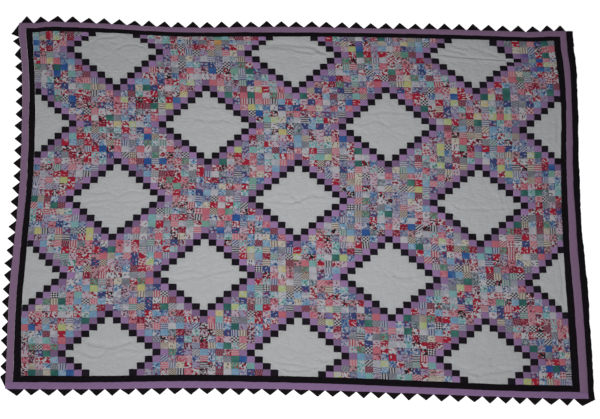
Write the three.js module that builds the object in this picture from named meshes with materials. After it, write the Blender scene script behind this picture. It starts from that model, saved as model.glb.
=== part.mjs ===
// Postage stamp quilt, lying flat on a surface.
// A field of one inch patches steps round seventeen white diamonds. Round the field run a
// black border and a lilac border, then black prairie points on the far, near and left
// sides and one plain black strip on the right side.
// Millimetres, +Z up. X runs to the right, Y runs away from the viewer.

import * as THREE from "three";

// Patchwork grid: u counts patches from the left edge, v counts them from the far edge
const PATCH = 25.4;
const COLUMNS = 71;
const ROWS = 55;

// White stepped diamonds, in two staggered sets
const DIAMOND_REACH = 5;
const DIAMOND_PITCH = 24;
const FIRST_DIAMOND = { column: 11, row: 3 };
const DIAMOND_LINES = 5;

// Thickness of top, wadding and back together
const SEAM_HEIGHT = 3.2;
const CROWN_HEIGHT = 4.6;
const EDGE_HEIGHT = 2.8;
const BORDER_CROWN = 3.8;

// How far out of the field the seams beyond the black border and beyond the lilac one run,
// at equal steps from a side's first patch to its last
const BLACK_OUT = {
  far: [18.3, 18.3],
  near: [24.5, 24.5],
  left: [23.8, 20.8, 20, 22.5, 21.8, 20.2, 19.8, 21.2, 20.8, 20.3, 23.4, 25],
  right: [21.5, 22.8, 18.8, 18, 19, 20.7, 21.3, 21, 22.9, 23.8, 24.2, 23.8],
};
const LILAC_OUT = {
  far: [40.3, 39, 39.5, 42, 39, 41, 42.5],
  near: [49.5, 49.5, 49.3, 49.3, 48.9, 47, 49],
  left: [48.6, 42, 42.8, 43.8, 44.2, 43.2, 42.6, 43.8, 44, 43.2, 45.5, 48.7],
  right: [43.3, 43.4, 37.4, 37.9, 40.3, 41.8, 45.5, 47.2, 49.8, 50.3, 50.6, 49.9],
};
const STRIP_OUT = {
  right: [67.2, 66.2, 58.9, 58.4, 61.7, 63.4, 64.9, 68.8, 72.8, 71, 71, 69.5],
};
const BORDER_STEP = 2.5;

// Prairie points: folded squares, set side by side on a narrow root. The parting between two
// lies at a place along its side, in patches from the field's corner, and a tip reaches so
// many millimetres out of the lilac border. Both are named at equal shares of the row.
const POINT_ROWS = [
  {
    side: "far",
    count: 37,
    places: [-1.6, 4.95, 11.45, 17.74, 23.74, 29.9, 36.17, 42.45, 48.52, 54.66, 60.66, 66.81, 72.49],
    reaches: [30, 23.5, 27, 26, 25.5, 27.5, 24.5],
  },
  {
    side: "near",
    count: 37,
    places: [-1.04, 5.1, 11.31, 17.4, 23.61, 29.75, 35.88, 42.02, 47.86, 54.12, 60.35, 66.12, 72.83],
    reaches: [23.5, 23.5, 23, 21.5, 24, 24, 25],
  },
  {
    side: "left",
    count: 29,
    places: [-0.21, 6.01, 11.99, 18.25, 24.62, 31.05, 37.14, 43.65, 50.08, 55.7],
    reaches: [24, 22, 24.5, 23.5, 23, 20, 17.5],
  },
];
const POINT_ROOT = 1.2;
const POINT_THICKNESS = { root: 1.8, tip: 1.0 };
const POINT_UNEVEN = { reach: 1.4, reachTurn: 2.3, aside: 1.6, asideTurn: 3.7 };

// Parting between two sewn pieces
const GAP = 0.6;

// Where the field's middle lies, so that the whole outline is centred on the origin
const FIELD_MIDDLE = { x: 6.36, y: 11.06 };

// The sewn quilt strays from its grid: sideways along six lines, then lengthways along eight.
// The border seams also gather the outermost patches by the pull in the same line.
const SIDEWAYS = [
  { row: 0, left: -9, middle: -14, right: -4, leftPull: 10, rightPull: 8 },
  { row: 11, left: 6, middle: 0, right: 9, leftPull: 13, rightPull: 11 },
  { row: 22, left: 14, middle: 5, right: -2, leftPull: 11, rightPull: 14 },
  { row: 33, left: 1, middle: -1, right: -8, leftPull: 15, rightPull: 15 },
  { row: 44, left: -7, middle: 0, right: -1, leftPull: 13, rightPull: 21 },
  { row: 55, left: 6, middle: -1, right: 1, leftPull: 7, rightPull: 22 },
];
const LENGTHWAYS = [
  { column: 0, far: 13, middle: -8, near: -1, farPull: 17, nearPull: 3 },
  { column: 10.1, far: 5, middle: -4, near: 2, farPull: 15, nearPull: 3 },
  { column: 20.3, far: 0, middle: 2, near: 12, farPull: 21, nearPull: 1 },
  { column: 30.4, far: 0, middle: 3, near: 11, farPull: 16, nearPull: 3 },
  { column: 40.6, far: -1, middle: 2, near: 4, farPull: 11, nearPull: 6 },
  { column: 50.7, far: 7, middle: 2, near: -4, farPull: 18, nearPull: 6 },
  { column: 60.9, far: 5, middle: -9, near: -11, farPull: 16, nearPull: 4 },
  { column: 71, far: 3, middle: -3, near: -11, farPull: 19, nearPull: 2 },
];
const GATHER_REACH = { sideways: 5, lengthways: 3 };

// Soft tucks near the far corners push rows towards the viewer or away
const TUCKS = [
  { column: 0, row: 0, across: 1.8, down: 2.2, push: -9.5 },
  { column: 65, row: 2.4, across: 9, down: 1.9, push: -24 },
  { column: 62, row: 9.5, across: 8, down: 5, push: 10 },
  { column: 71, row: 0, across: 2.2, down: 2.2, push: 6 },
];

// Quilted leaves on each white diamond, in patches from its middle
const LEAF = { middle: 2.5, halfLength: 2.3, halfWidth: 1.4 };

// Cloths
const CLOTH = {
  prints: { color: 0x8c7f92, roughness: 0.92 },
  white: { color: 0xdcdddc, roughness: 0.9 },
  black: { color: 0x17151a, roughness: 0.88 },
  lilac: { color: 0x9475a6, roughness: 0.9 },
};

const quilt = new THREE.Group();

// A value at some share of a list's length, on a smooth curve through its values
function curved(values, share) {
  const curve = new THREE.SplineCurve(values.map((value, i) => new THREE.Vector2(i, value)));
  return curve.getPoint(share).y;
}

function along(table, key, share) {
  return curved(table.map((line) => line[key]), share);
}

function across(first, middle, last, share) {
  const fromFirst = first * (1 - share) * (1 - 2 * share);
  const fromMiddle = middle * 4 * share * (1 - share);
  const fromLast = last * share * (2 * share - 1);
  return fromFirst + fromMiddle + fromLast;
}

function gathered(patchesIn, reach) {
  return patchesIn < reach ? (1 - patchesIn / reach) ** 2 : 0;
}

function tucked(column, row) {
  let push = 0;
  for (const tuck of TUCKS) {
    const acrossSteps = (column - tuck.column) / tuck.across;
    const downSteps = (row - tuck.row) / tuck.down;
    push += tuck.push * Math.exp(-(acrossSteps ** 2) - downSteps ** 2);
  }
  return push;
}

// Where a point of the patchwork grid lies on the surface, borders included
function plan(u, v) {
  const column = THREE.MathUtils.clamp(u, 0, COLUMNS);
  const row = THREE.MathUtils.clamp(v, 0, ROWS);
  const share = { across: column / COLUMNS, down: row / ROWS };
  const sideways = (key) => along(SIDEWAYS, key, share.down);
  const lengthways = (key) => along(LENGTHWAYS, key, share.across);
  const reach = GATHER_REACH;
  const strayX =
    across(sideways("left"), sideways("middle"), sideways("right"), share.across) +
    sideways("leftPull") * gathered(column, reach.sideways) -
    sideways("rightPull") * gathered(COLUMNS - column, reach.sideways);
  const strayY =
    across(lengthways("far"), lengthways("middle"), lengthways("near"), share.down) -
    lengthways("farPull") * gathered(row, reach.lengthways) +
    lengthways("nearPull") * gathered(ROWS - row, reach.lengthways) +
    tucked(column, row);
  return new THREE.Vector2(
    (u - COLUMNS / 2) * PATCH + strayX + FIELD_MIDDLE.x,
    (ROWS / 2 - v) * PATCH + strayY + FIELD_MIDDLE.y,
  );
}

// A closed cloth body from its upper face, given as corners with heights and triangles seen
// from above. Its under face lies on the surface and its walls stand round the outline.
function addCloth(name, cloth, corners, upper, under = upper) {
  const top = corners.map(({ place, height }) => [place.x, place.y, height]);
  const bottom = corners.map(({ place }) => [place.x, place.y, 0]);
  const below = corners.length;
  const faces = [...upper];
  for (const [a, b, c] of under) {
    faces.push([a + below, c + below, b + below]);
  }
  const edges = new Set(upper.flatMap(([a, b, c]) => [`${a} ${b}`, `${b} ${c}`, `${c} ${a}`]));
  for (const edge of edges) {
    const [a, b] = edge.split(" ").map(Number);
    if (!edges.has(`${b} ${a}`)) {
      faces.push([a + below, b + below, b], [a + below, b, a]);
    }
  }
  const shape = new THREE.BufferGeometry();
  const points = new Float32Array([...top, ...bottom].flat());
  shape.setAttribute("position", new THREE.BufferAttribute(points, 3));
  shape.setIndex(faces.flat());
  const geometry = shape.toNonIndexed();
  geometry.computeVertexNormals();
  const material = new THREE.MeshStandardMaterial({ ...CLOTH[cloth], metalness: 0 });
  const mesh = new THREE.Mesh(geometry, material);
  mesh.name = name;
  quilt.add(mesh);
}

// Triangles between two lines of corners that run side by side, `far` beyond `near`
function zip(far, near, column) {
  const triangles = [];
  let f = 0;
  let n = 0;
  while (f < far.length - 1 || n < near.length - 1) {
    const farNext = f < far.length - 1 ? column(far[f + 1]) : Infinity;
    const nearNext = n < near.length - 1 ? column(near[n + 1]) : Infinity;
    if (farNext < nearNext) {
      triangles.push([far[f], near[n], far[f + 1]]);
      f += 1;
    } else {
      triangles.push([far[f], near[n], near[n + 1]]);
      n += 1;
    }
  }
  return triangles;
}

// A body of whole patches: `has` says which patches are in it, `puff` how high it stands at
// a grid corner inside it, and `inset` how far its outline draws in
function addPatches(name, cloth, has, puff, inset) {
  const corners = [];
  const numbers = new Map();
  for (let v = 0; v <= ROWS; v += 1) {
    for (let u = 0; u <= COLUMNS; u += 1) {
      const round = [[-1, -1], [0, -1], [-1, 0], [0, 0]].filter(([c, r]) => has(u + c, v + r));
      if (round.length === 0) continue;
      const edge = round.length < 4;
      const inwardU = Math.sign(round.reduce((sum, [c]) => sum + 2 * c + 1, 0));
      const inwardV = Math.sign(round.reduce((sum, [, r]) => sum + 2 * r + 1, 0));
      const step = edge ? inset / PATCH : 0;
      const place = plan(u + inwardU * step, v + inwardV * step);
      numbers.set(`${u} ${v}`, corners.length);
      corners.push({ place, height: edge ? SEAM_HEIGHT : puff(u, v), u, edge });
    }
  }
  const number = (u, v) => numbers.get(`${u} ${v}`);
  const upper = [];
  const under = [];
  for (let row = 0; row < ROWS; row += 1) {
    let first = null;
    for (let column = 0; column <= COLUMNS; column += 1) {
      if (has(column, row)) {
        first ??= column;
        const farLeft = number(column, row);
        const farRight = number(column + 1, row);
        const nearLeft = number(column, row + 1);
        const nearRight = number(column + 1, row + 1);
        upper.push([farLeft, nearLeft, farRight], [nearLeft, nearRight, farRight]);
      } else if (first !== null) {
        const line = (v) => {
          const run = [];
          for (let u = first; u <= column; u += 1) {
            if (corners[number(u, v)].edge) run.push(number(u, v));
          }
          return run;
        };
        under.push(...zip(line(row), line(row + 1), (corner) => corners[corner].u));
        first = null;
      }
    }
  }
  addCloth(name, cloth, corners, upper, under);
}

// How many steps a patch lies from the middle of the nearest diamond of either set
function stepsFromDiamond(column, row) {
  const half = DIAMOND_PITCH / 2;
  const away = (offset) => {
    const wrapped = THREE.MathUtils.euclideanModulo(offset + half, DIAMOND_PITCH);
    return Math.abs(wrapped - half);
  };
  const acrossSteps = column - FIRST_DIAMOND.column;
  const downSteps = row - FIRST_DIAMOND.row;
  const inFirstSet = away(acrossSteps) + away(downSteps);
  const inSecondSet = away(acrossSteps + half) + away(downSteps + half);
  return Math.min(inFirstSet, inSecondSet);
}

function inGrid(column, row) {
  return column >= 0 && column < COLUMNS && row >= 0 && row < ROWS;
}

// The printed field: quilting lines run corner to corner and every second one is drawn down
function inField(column, row) {
  return inGrid(column, row) && stepsFromDiamond(column, row) > DIAMOND_REACH;
}

function ridge(u, v) {
  return (u + v) % 2 === 0 ? SEAM_HEIGHT : CROWN_HEIGHT;
}

addPatches("patchwork_field", "prints", inField, ridge, 0);

// A white diamond is full between its quilted leaves' outlines
function leafSwell(alongSteps, acrossSteps) {
  const endwise = (Math.abs(alongSteps) - LEAF.middle) / LEAF.halfLength;
  const sidewise = acrossSteps / LEAF.halfWidth;
  return Math.max(0, 1 - endwise ** 2 - sidewise ** 2);
}

function addWhiteDiamond(name, middleColumn, middleRow) {
  const has = (column, row) => {
    const steps = Math.abs(column - middleColumn) + Math.abs(row - middleRow);
    return inGrid(column, row) && steps <= DIAMOND_REACH;
  };
  const swell = (u, v) => {
    const right = u - middleColumn - 0.5;
    const down = v - middleRow - 0.5;
    const full = Math.max(leafSwell(right, down), leafSwell(down, right));
    return THREE.MathUtils.lerp(SEAM_HEIGHT, CROWN_HEIGHT, Math.sqrt(full));
  };
  addPatches(name, "white", has, swell, GAP);
}

for (let line = 0; line < DIAMOND_LINES; line += 1) {
  const staggered = line % 2 === 1;
  const row = FIRST_DIAMOND.row + line * DIAMOND_PITCH / 2;
  const start = FIRST_DIAMOND.column - (staggered ? DIAMOND_PITCH / 2 : 0);
  for (let column = start; column <= COLUMNS; column += DIAMOND_PITCH) {
    const place = (column - start) / DIAMOND_PITCH + 1;
    addWhiteDiamond(`white_diamond_${line + 1}_${place}`, column, row);
  }
}

// A point beside the field: `at` patches along a side and `out` millimetres off its edge
const SIDES = {
  far: { length: COLUMNS, place: (at, out) => plan(at, -out / PATCH) },
  near: { length: COLUMNS, place: (at, out) => plan(at, ROWS + out / PATCH) },
  left: { length: ROWS, place: (at, out) => plan(-out / PATCH, at) },
  right: { length: ROWS, place: (at, out) => plan(COLUMNS + out / PATCH, at) },
};

// Sides along which a strip's corners run clockwise
const CLOCKWISE = ["near", "left"];

function seamOut(table, side, at) {
  return curved(table[side], THREE.MathUtils.clamp(at / SIDES[side].length, 0, 1));
}

function blackEdge(side, at) {
  return seamOut(BLACK_OUT, side, at);
}

function lilacEdge(side, at) {
  return seamOut(LILAC_OUT, side, at);
}

// A body seen from above whichever way its corners were laid along the side
function addAlong(name, cloth, side, corners, triangles) {
  const turned = CLOCKWISE.includes(side);
  addCloth(name, cloth, corners, turned ? triangles.map(([a, b, c]) => [a, c, b]) : triangles);
}

// Steps along a side: its own two ends, and between them the steps that all strips share
function stations(side, start, end) {
  const { length } = SIDES[side];
  const shared = [];
  for (let at = 0; at < length; at += BORDER_STEP) {
    shared.push(at);
  }
  shared.push(length);
  return [start, ...shared.filter((at) => at > start && at < end), end];
}

// A strip sewn along a side, low at its two seams and full between them
function addStrip(name, cloth, side, start, end, inner, outer, edgeHeight) {
  const corners = [];
  const triangles = [];
  stations(side, start, end).forEach((at, i) => {
    const from = inner(at) + GAP;
    const to = outer(at);
    [SEAM_HEIGHT, BORDER_CROWN, edgeHeight].forEach((height, k) => {
      const place = SIDES[side].place(at, THREE.MathUtils.lerp(from, to, k / 2));
      corners.push({ place, height });
    });
    if (i === 0) return;
    for (const here of [3 * i, 3 * i + 1]) {
      const last = here - 3;
      triangles.push([last, here, here + 1], [last, here + 1, last + 1]);
    }
  });
  addAlong(name, cloth, side, corners, triangles);
}

// Far and near strips run past the corners, left and right strips fit between them
function addBorder(name, cloth, inner, outer) {
  const gap = GAP / PATCH;
  const add = (side, start, end) => {
    const innerEdge = (at) => inner(side, at);
    const outerEdge = (at) => outer(side, at);
    addStrip(`${name}_${side}`, cloth, side, start, end, innerEdge, outerEdge, SEAM_HEIGHT);
  };
  for (const [side, row] of [["far", 0], ["near", ROWS]]) {
    add(side, -outer("left", row) / PATCH, COLUMNS + outer("right", row) / PATCH);
  }
  for (const [side, column] of [["left", 0], ["right", COLUMNS]]) {
    add(side, -inner("far", column) / PATCH + gap, ROWS + inner("near", column) / PATCH - gap);
  }
}

addBorder("black_border", "black", () => 0, blackEdge);
addBorder("lilac_border", "lilac", blackEdge, lilacEdge);

// The plain strip down the right side runs from the far lilac corner to the near one
addStrip(
  "black_strip_right",
  "black",
  "right",
  -lilacEdge("far", COLUMNS) / PATCH,
  ROWS + lilacEdge("near", COLUMNS) / PATCH,
  (at) => lilacEdge("right", at),
  (at) => seamOut(STRIP_OUT, "right", at),
  EDGE_HEIGHT,
);

// Prairie points stand side by side along the lilac edge, each a little uneven
function addPoints({ side, count, places, reaches }) {
  const outside = (at, more) => SIDES[side].place(at, lilacEdge(side, at) + more);
  const { root, tip } = POINT_THICKNESS;
  const corners = [];
  const triangles = [];
  for (let i = 0; i <= count; i += 1) {
    const notch = curved(places, i / count);
    corners.push({ place: outside(notch, GAP), height: root });
    corners.push({ place: outside(notch, GAP + POINT_ROOT), height: root });
    if (i === count) break;
    const aside = POINT_UNEVEN.aside * Math.sin(POINT_UNEVEN.asideTurn * i);
    const further = POINT_UNEVEN.reach * Math.cos(POINT_UNEVEN.reachTurn * i);
    const halfway = (i + 0.5) / count;
    const reach = curved(reaches, halfway) + further;
    const middle = curved(places, halfway) + aside / PATCH;
    corners.push({ place: outside(middle, reach), height: tip });
    const here = 3 * i;
    const next = here + 3;
    triangles.push([here, next, next + 1], [here, next + 1, here + 1]);
    triangles.push([here + 1, next + 1, here + 2]);
  }
  addAlong(`prairie_points_${side}`, "black", side, corners, triangles);
}

POINT_ROWS.forEach(addPoints);

export default quilt;
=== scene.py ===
# %% [markdown]
# # A postage stamp quilt, laid out flat
#
# A postage stamp quilt is pieced from thousands of one inch squares. This one steps its
# prints round seventeen white diamonds, ringed in black and in lilac, and ends in a black
# border, a lilac border and, on three sides, a row of black prairie points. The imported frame
# already holds every piece at its real size, so this lesson makes the cloth itself: the
# squares, their seams, the quilting that draws the layers together, and each cotton's finish.

import functools
import math
import random

import bmesh
import bpy
from mathutils import Matrix, Vector, noise


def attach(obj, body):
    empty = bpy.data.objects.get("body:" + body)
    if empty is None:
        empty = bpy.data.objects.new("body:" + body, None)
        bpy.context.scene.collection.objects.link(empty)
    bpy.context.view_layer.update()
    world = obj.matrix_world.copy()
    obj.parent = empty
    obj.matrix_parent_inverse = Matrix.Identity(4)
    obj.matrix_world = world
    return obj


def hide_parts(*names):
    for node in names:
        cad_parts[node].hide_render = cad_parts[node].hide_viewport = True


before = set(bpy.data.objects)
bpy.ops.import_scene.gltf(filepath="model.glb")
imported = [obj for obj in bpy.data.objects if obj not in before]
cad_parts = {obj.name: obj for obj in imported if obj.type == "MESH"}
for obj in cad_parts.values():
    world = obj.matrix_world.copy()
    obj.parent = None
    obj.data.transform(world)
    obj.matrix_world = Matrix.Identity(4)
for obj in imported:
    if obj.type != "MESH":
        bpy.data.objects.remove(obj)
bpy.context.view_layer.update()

# %% [markdown]
# ## The camera
#
# The quilt was photographed from the front and above, from far off with a long lens, and
# the picture leans a little. The camera could be turned by hand until it fits. Here it is
# built from four angles and sizes, because a turn about the upright axis, a tilt and a roll
# can each be read and changed on their own.

# %% Place the camera
LOOK_AT = Vector((0.0160, -0.0223, 0.0))
LOOK_TURN = math.radians(-3.43)
LOOK_DOWN = math.radians(55.37)
LOOK_ROLL = math.radians(3.65)
LOOK_DISTANCE = 11.593
LENS_MM = 209.7

turned = Matrix.Rotation(LOOK_TURN, 4, "Z")
tilted = Matrix.Rotation(math.pi / 2 - LOOK_DOWN, 4, "X")
rolled = Matrix.Rotation(LOOK_ROLL, 4, "Z")
aim = turned @ tilted @ rolled

camera_data = bpy.data.cameras.new("camera")
camera_data.lens = LENS_MM
camera_data.clip_end = 40
camera = bpy.data.objects.new("camera", camera_data)
camera.matrix_world = Matrix.Translation(LOOK_AT + aim.to_3x3() @ Vector((0, 0, LOOK_DISTANCE))) @ aim
bpy.context.scene.collection.objects.link(camera)
bpy.context.scene.camera = camera
print("camera at", [round(value, 3) for value in camera.matrix_world.translation])

# %% [markdown]
# ## Light and floor
#
# One broad lamp hangs above the near half of the quilt, so the far corners fall off a
# little, as they do in the picture. A second lamp stands far off on the viewer's side and
# rakes over the cloth, because light from straight above hides every crease. The floor is a
# plain pale sheet that glows slightly, so it stays near white while the quilt still casts a
# soft edge on it.

# %% Make the lamps and the floor
OVERHEAD = {"place": (-0.05, -0.14, 1.75), "size": 0.9, "watts": 11.8}
RAKING = {"place": (-2.4, -6.6, 3.8), "size": 1.2, "watts": 210}
ROOM_GLOW = 0.06
FLOOR_SIZE = 14
FLOOR_DROP = 0.0001
FLOOR_PALE = 0.9
FLOOR_GLOW = 0.74


def add_lamp(name, place, size, watts):
    lamp = bpy.data.lights.new(name, "AREA")
    lamp.shape = "DISK"
    lamp.size = size
    lamp.energy = watts
    stand = bpy.data.objects.new(name, lamp)
    stand.location = place
    stand.rotation_euler = Vector(place).to_track_quat("Z", "Y").to_euler()
    bpy.context.scene.collection.objects.link(stand)


add_lamp("overhead lamp", **OVERHEAD)
add_lamp("raking lamp", **RAKING)

room = bpy.data.worlds.new("pale room")
room.use_nodes = True
room.node_tree.nodes["Background"].inputs["Color"].default_value = (0.96, 0.98, 1.0, 1)
room.node_tree.nodes["Background"].inputs["Strength"].default_value = ROOM_GLOW
bpy.context.scene.world = room
bpy.context.scene.view_settings.view_transform = "Standard"

floor_mesh = bmesh.new()
bmesh.ops.create_grid(floor_mesh, x_segments=1, y_segments=1, size=FLOOR_SIZE / 2)
floor_data = bpy.data.meshes.new("floor")
floor_mesh.to_mesh(floor_data)
floor_mesh.free()
floor = bpy.data.objects.new("floor", floor_data)
floor.location.z = -FLOOR_DROP
bpy.context.scene.collection.objects.link(floor)
paint = bpy.data.materials.new("pale floor")
paint.use_nodes = True
shader = paint.node_tree.nodes["Principled BSDF"]
shader.inputs["Base Color"].default_value = (FLOOR_PALE, FLOOR_PALE, FLOOR_PALE, 1)
shader.inputs["Roughness"].default_value = 0.9
shader.inputs["Emission Color"].default_value = (1, 1, 1, 1)
shader.inputs["Emission Strength"].default_value = FLOOR_GLOW
floor_data.materials.append(paint)
print("floor", FLOOR_SIZE, "m across")

# %% [markdown]
# ## The grid of squares
#
# Every place on the quilt is a column and a row on one grid of inch squares, and a real
# quilt strays from its grid: rows bow, borders draw the last squares in, and a tuck pushes
# a row aside. The strays could be sculpted. Here one function turns a grid place into a
# place on the floor, so that every piece that is sewn to another follows the same bend.
# Its sizes are those of the solids in the frame.

# %% Sizes of the grid
MM = 0.001
PATCH = 25.4
COLUMNS = 71
ROWS = 55
FIELD_MIDDLE = (6.36, 11.06)
SIDEWAYS = [
    # left, middle, right, left pull and right pull, line by line from far to near
    (-9, -14, -4, 10, 8),
    (6, 0, 9, 13, 11),
    (14, 5, -2, 11, 14),
    (1, -1, -8, 15, 15),
    (-7, 0, -1, 13, 21),
    (6, -1, 1, 7, 22),
]
LENGTHWAYS = [
    # far, middle, near, far pull and near pull, from left to right
    (13, -8, -1, 17, 3),
    (5, -4, 2, 15, 3),
    (0, 2, 12, 21, 1),
    (0, 3, 11, 16, 3),
    (-1, 2, 4, 11, 6),
    (7, 2, -4, 18, 6),
    (5, -9, -11, 16, 4),
    (3, -3, -11, 19, 2),
]
GATHER_REACH = {"sideways": 5, "lengthways": 3}
TUCKS = [
    {"column": 0, "row": 0, "across": 1.8, "down": 2.2, "push": -9.5},
    {"column": 65, "row": 2.4, "across": 9, "down": 1.9, "push": -24},
    {"column": 62, "row": 9.5, "across": 8, "down": 5, "push": 10},
    {"column": 71, "row": 0, "across": 2.2, "down": 2.2, "push": 6},
]
HAND_STRAY = 1.2
HAND_PITCH = 0.83
HAND_LAYERS = (2.6, 9.4)


def smooth_through(values, share):
    """A value at some share of a row of evenly spaced ones, on a smooth curve."""
    place = share * (len(values) - 1)
    i = min(int(place), len(values) - 2)
    t = place - i
    before, here, there = values[max(i - 1, 0)], values[i], values[i + 1]
    after = values[min(i + 2, len(values) - 1)]
    slope, next_slope = (there - before) / 2, (after - here) / 2
    cubic = 2 * here - 2 * there + slope + next_slope
    square = 3 * there - 3 * here - 2 * slope - next_slope
    return ((cubic * t + square) * t + slope) * t + here


@functools.lru_cache(None)
def strays(kind, share):
    """All five strays of a table at some share of its length."""
    table = SIDEWAYS if kind == "sideways" else LENGTHWAYS
    return [smooth_through([line[k] for line in table], share) for k in range(len(table[0]))]


def across(first, middle, last, share):
    """A bow through three values."""
    ends = first * (1 - share) * (1 - 2 * share) + last * share * (2 * share - 1)
    return ends + middle * 4 * share * (1 - share)


def gathered(patches_in, reach):
    return (1 - patches_in / reach) ** 2 if patches_in < reach else 0


def tucked(column, row):
    push = 0
    for tuck in TUCKS:
        steps_across = (column - tuck["column"]) / tuck["across"]
        steps_down = (row - tuck["row"]) / tuck["down"]
        push += tuck["push"] * math.exp(-(steps_across**2) - steps_down**2)
    return push


def by_hand(u, v, layer):
    """How far sewing by hand has shifted a place, in millimetres."""
    return HAND_STRAY * noise.noise(Vector((u * HAND_PITCH, v * HAND_PITCH, layer)))


@functools.lru_cache(None)
def plan(u, v):
    """Where a grid place lies on the floor, in millimetres. u is a column and v a row."""
    column, row = min(max(u, 0), COLUMNS), min(max(v, 0), ROWS)
    left, middle, right, left_pull, right_pull = strays("sideways", row / ROWS)
    far, centre, near, far_pull, near_pull = strays("lengthways", column / COLUMNS)
    reach_x, reach_y = GATHER_REACH["sideways"], GATHER_REACH["lengthways"]
    x = across(left, middle, right, column / COLUMNS)
    x += left_pull * gathered(column, reach_x) - right_pull * gathered(COLUMNS - column, reach_x)
    y = across(far, centre, near, row / ROWS) + tucked(column, row)
    y += near_pull * gathered(ROWS - row, reach_y) - far_pull * gathered(row, reach_y)
    return (
        (u - COLUMNS / 2) * PATCH + x + FIELD_MIDDLE[0] + by_hand(u, v, HAND_LAYERS[0]),
        (ROWS / 2 - v) * PATCH + y + FIELD_MIDDLE[1] + by_hand(u, v, HAND_LAYERS[1]),
    )


print("field corners, mm:", [tuple(round(n) for n in plan(u, v)) for u in (0, COLUMNS) for v in (0, ROWS)])

# %% [markdown]
# ## The diamonds' steps
#
# A stepped diamond is all the squares within five steps of its middle square. The squares
# six steps off are black and those seven steps off are lilac. Counting steps is enough to
# say what any square of the grid is, so no chart of the quilt is needed.

# %% Count the steps
DIAMOND_REACH = 5
DIAMOND_PITCH = 24
FIRST_COLUMN, FIRST_ROW = 11, 3
DIAMOND_LINES = 5


def steps_from_diamond(column, row):
    half = DIAMOND_PITCH / 2

    def away(offset):
        return abs((offset + half) % DIAMOND_PITCH - half)

    a, b = column - FIRST_COLUMN, row - FIRST_ROW
    return min(away(a) + away(b), away(a + half) + away(b + half))


def list_diamonds():
    """The name and middle square of each diamond, line by line."""
    found = []
    for line in range(DIAMOND_LINES):
        start = FIRST_COLUMN - (DIAMOND_PITCH // 2 if line % 2 else 0)
        for place, column in enumerate(range(start, COLUMNS + 1, DIAMOND_PITCH)):
            row = FIRST_ROW + line * DIAMOND_PITCH // 2
            found.append((f"white_diamond_{line + 1}_{place + 1}", column, row))
    return found


DIAMONDS = list_diamonds()
print("diamonds:", len(DIAMONDS))

# %% [markdown]
# ## The quilted surface
#
# Quilting stitches run corner to corner through every square, and the wadding swells
# between them. Each seam lies in a fine groove. The relief could be a displacement map, but
# the outline of a puff shows at the edge of the quilt and in its exported mesh, so heights
# are worked out for real points. The back is drawn up under each line of stitches too.

# %% Heights of the cloth
LOW = 3.0
CROWN = 4.45
GROOVE = 0.55
GROOVE_REACH = 0.07
BACK_LIFT = 0.8
PUFF_POWER = 0.55
LUMP = 0.3
LUMP_SIZE, LUMP_LAYER = 1.4, 7.3


def swelling(u, v):
    """0 on a line of quilting, 1 midway between two."""
    line = (u + v) % 1
    return (4 * line * (1 - line)) ** PUFF_POWER


def seam_depth(u, v):
    """1 on a seam between two squares, 0 away from it."""
    nearest = min(abs((u + 0.5) % 1 - 0.5), abs((v + 0.5) % 1 - 0.5))
    return max(0.0, 1 - nearest / GROOVE_REACH)


def lump(u, v, size=LUMP_SIZE):
    return noise.noise(Vector((u / size, v / size, LUMP_LAYER)))


def quilted_top(u, v):
    full = swelling(u, v) * (1 - LUMP + LUMP * lump(u, v))
    return LOW + (CROWN - LOW) * full - GROOVE * seam_depth(u, v)


def quilted_back(u, v):
    return BACK_LIFT * (1 - swelling(u, v))


# %% [markdown]
# ## From a flat grid to a closed cloth
#
# Each piece starts as bmesh's own grid. Its unwanted squares are deleted, and extruding the
# whole face region, with the first faces kept, gives a top, a back and the walls between
# them in one step. Only then are the points moved to their place and height. Triangles are
# cut along the quilting's own direction, so that its channels stay crisp.

# %% Helpers for cloth
SPREAD = (0, 0.07, 0.28, 0.5, 0.72, 0.93)
FINE_SPREAD = (0, 0.06, 0.19, 0.34, 0.5, 0.66, 0.81, 0.94)
cloths = []


def grid_place(count, spread):
    """Turns a whole number of small steps into a place on the patch grid."""
    return count // len(spread) + spread[count % len(spread)]


def patch_sheet(first_column, first_row, columns, rows, spread, has):
    """A flat sheet of whole patches in grid units, with v running down the sheet."""
    bm = bmesh.new()
    across_steps, down_steps = columns * len(spread), rows * len(spread)
    bmesh.ops.create_grid(bm, x_segments=across_steps, y_segments=down_steps, size=0.5)
    for vert in bm.verts:
        i = round((vert.co.x + 0.5) * across_steps)
        j = round((0.5 - vert.co.y) * down_steps)
        vert.co = (first_column + grid_place(i, spread), -first_row - grid_place(j, spread), 0)
    outside = [face for face in bm.faces if not has(*patch_of(face))]
    bmesh.ops.delete(bm, geom=outside, context="FACES")
    return bm


def patch_of(face):
    middle = face.calc_center_median()
    return math.floor(middle.x), math.floor(-middle.y)


def thicken(bm):
    """Cuts the quads and adds a back and walls. Returns the points of the top."""
    bmesh.ops.triangulate(bm, faces=bm.faces[:], quad_method="FIXED")
    made = bmesh.ops.extrude_face_region(bm, geom=bm.faces[:], use_keep_orig=True)
    top = {part for part in made["geom"] if isinstance(part, bmesh.types.BMVert)}
    for face in bm.faces:
        face.smooth = True
    return top


def face_side(face, top):
    """Which side of the cloth a face is on."""
    count = sum(vert in top for vert in face.verts)
    if count == len(face.verts):
        return "top"
    return "back" if count == 0 else "wall"


def settle(bm, top, place, top_height, back_height):
    """Moves each point from the grid to its place on the floor, in metres."""
    for vert in bm.verts:
        u, v = vert.co.x, -vert.co.y
        x, y = place(u, v)
        z = top_height(u, v) if vert in top else back_height(u, v)
        vert.co = (x * MM, y * MM, z * MM)
    for edge in bm.edges:
        sides = {face_side(face, top) for face in edge.link_faces}
        edge.smooth = sides != {"top", "wall"} and sides != {"back", "wall"}
    bmesh.ops.recalc_face_normals(bm, faces=bm.faces[:])


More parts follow.
